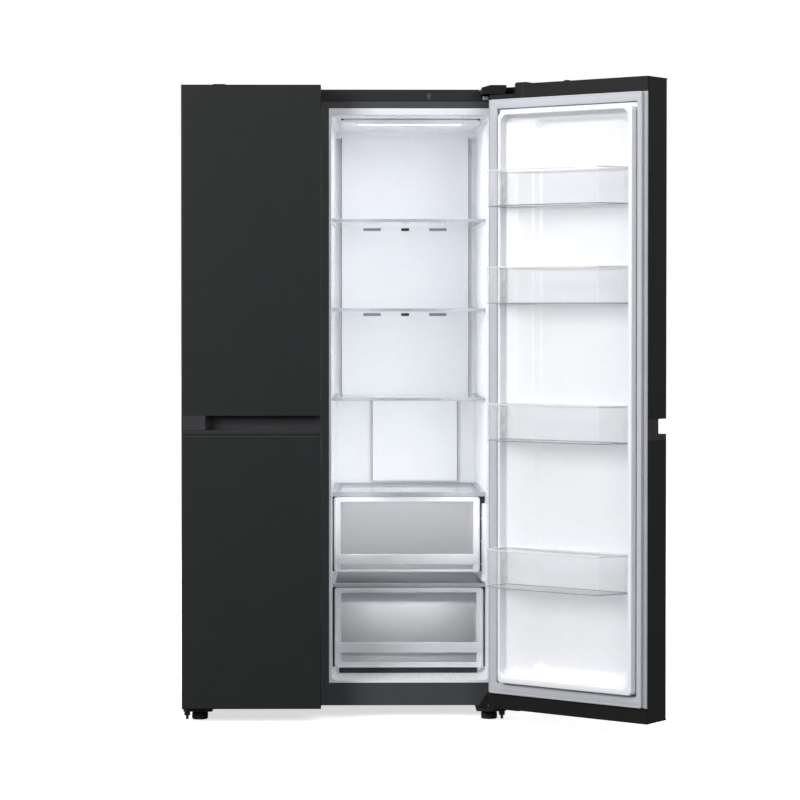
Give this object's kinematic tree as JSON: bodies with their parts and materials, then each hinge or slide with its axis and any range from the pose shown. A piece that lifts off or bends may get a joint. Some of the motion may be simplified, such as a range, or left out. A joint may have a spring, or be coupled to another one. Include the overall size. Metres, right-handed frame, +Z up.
{
  "type": "side by side refrigerator",
  "caption": "Tall dark side by side refrigerator with full-height freezer and fresh food doors, pocket grips, glass shelves, sliding crispers and clear door baskets.",
  "frame": {"origin": "on the floor, at the centre of the closed refrigerator's footprint", "axes": "+X to the right as seen from the front, +Y to the back, +Z up; the doors face -Y"},
  "size_m": [1.3328, 1.0774, 1.79],
  "materials": {
    "door_steel": "satin",
    "cabinet_steel": "satin",
    "galvanised_steel": "satin",
    "black_plastic": "matte",
    "insulation_foam": "matte",
    "white_liner": "gloss",
    "grey_gasket": "matte",
    "clear_plastic": "gloss",
    "frosted_plastic": "satin",
    "shelf_glass": "gloss",
    "silver_trim": "satin",
    "lamp_diffuser": "satin",
    "compressor_black": "gloss",
    "coil_metal": "satin",
    "pan_plastic": "matte",
    "motor_metal": "satin"
  },
  "bodies": {
    "cabinet": {"air_duct_panel": "white_liner", "back_panel": "cabinet_steel", "base_plate": "galvanised_steel", "bottom_hinges": "galvanised_steel", "cabinet_foam": "insulation_foam", "cabinet_shell": "cabinet_steel", "ceiling_panel": "white_liner", "compressor": "compressor_black", "condenser": "coil_metal", "crisper_lid_frame": "silver_trim", "crisper_lid_glass": "shelf_glass", "drain_pan": "pan_plastic", "drawer_divider": "silver_trim", "evaporator": "coil_metal", "evaporator_cover": "white_liner", "fan_motors": "motor_metal", "freezer_drawer_lower": "clear_plastic", "freezer_drawer_upper": "clear_plastic", "freezer_liner": "white_liner", "freezer_shelves": "shelf_glass", "fridge_liner": "white_liner", "front_frame": "cabinet_steel", "glass_shelf_lower": "shelf_glass", "glass_shelf_middle": "shelf_glass", "glass_shelf_top": "shelf_glass", "hinge_covers": "black_plastic", "hinge_screws": "coil_metal", "lamp_lens": "lamp_diffuser", "machine_room_cover": "black_plastic", "roller_brackets": "galvanised_steel", "shelf_trims": "silver_trim", "top_cover": "black_plastic", "top_hinges": "galvanised_steel"},
    "condenser_fan": {"condenser_fan": "black_plastic"},
    "evaporator_fan": {"evaporator_fan": "black_plastic"},
    "freezer_door": {"freezer_door_baskets": "clear_plastic", "freezer_door_end_caps": "black_plastic", "freezer_door_foam": "insulation_foam", "freezer_door_gasket": "grey_gasket", "freezer_door_handle": "black_plastic", "freezer_door_liner": "white_liner", "freezer_door_skin": "door_steel"},
    "fridge_door": {"fridge_door_basket_1": "clear_plastic", "fridge_door_basket_2": "clear_plastic", "fridge_door_basket_3": "clear_plastic", "fridge_door_basket_4": "clear_plastic", "fridge_door_end_caps": "black_plastic", "fridge_door_foam": "insulation_foam", "fridge_door_gasket": "grey_gasket", "fridge_door_handle": "black_plastic", "fridge_door_liner": "white_liner", "fridge_door_skin": "door_steel"},
    "leveling_foot_left": {"leveling_foot_left": "black_plastic"},
    "leveling_foot_right": {"leveling_foot_right": "black_plastic"},
    "rear_roller_left": {"rear_roller_left": "pan_plastic"},
    "rear_roller_right": {"rear_roller_right": "pan_plastic"},
    "crisper_upper": {"crisper_upper_front": "frosted_plastic", "crisper_upper_tub": "clear_plastic"},
    "crisper_lower": {"crisper_lower_front": "frosted_plastic", "crisper_lower_tub": "clear_plastic"}
  },
  "joints": [
    {"name": "fridge_door_hinge", "type": "hinge", "parent": "cabinet", "child": "fridge_door", "pos_m": [0.4439, -0.3132, 0.041], "axis": [0, 0, 1], "range_deg": [-142.5, 0]},
    {"name": "freezer_door_hinge", "type": "hinge", "parent": "cabinet", "child": "freezer_door", "pos_m": [-0.4439, -0.3132, 0.041], "axis": [0, 0, -1], "range_deg": [0, 142.5]},
    {"name": "crisper_upper_slide", "type": "slide", "parent": "cabinet", "child": "crisper_upper", "axis": [0, -1, 0], "range_m": [0, 0.3]},
    {"name": "crisper_lower_slide", "type": "slide", "parent": "cabinet", "child": "crisper_lower", "axis": [0, -1, 0], "range_m": [0, 0.16]},
    {"name": "rear_roller_left_spin", "type": "hinge", "parent": "cabinet", "child": "rear_roller_left", "pos_m": [-0.38, 0.2875, 0.02], "axis": [1, 0, 0], "continuous": true},
    {"name": "rear_roller_right_spin", "type": "hinge", "parent": "cabinet", "child": "rear_roller_right", "pos_m": [0.38, 0.2875, 0.02], "axis": [1, 0, 0], "continuous": true},
    {"name": "leveling_foot_left_turn", "type": "hinge", "parent": "cabinet", "child": "leveling_foot_left", "pos_m": [-0.41, -0.2725, 0], "axis": [0, 0, 1], "continuous": true},
    {"name": "leveling_foot_right_turn", "type": "hinge", "parent": "cabinet", "child": "leveling_foot_right", "pos_m": [0.41, -0.2725, 0], "axis": [0, 0, 1], "continuous": true},
    {"name": "condenser_fan_spin", "type": "hinge", "parent": "cabinet", "child": "condenser_fan", "pos_m": [0.058, 0.2325, 0.145], "axis": [1, 0, 0], "continuous": true},
    {"name": "evaporator_fan_spin", "type": "hinge", "parent": "cabinet", "child": "evaporator_fan", "pos_m": [-0.249, 0.2325, 1], "axis": [0, 1, 0], "continuous": true}
  ]
}
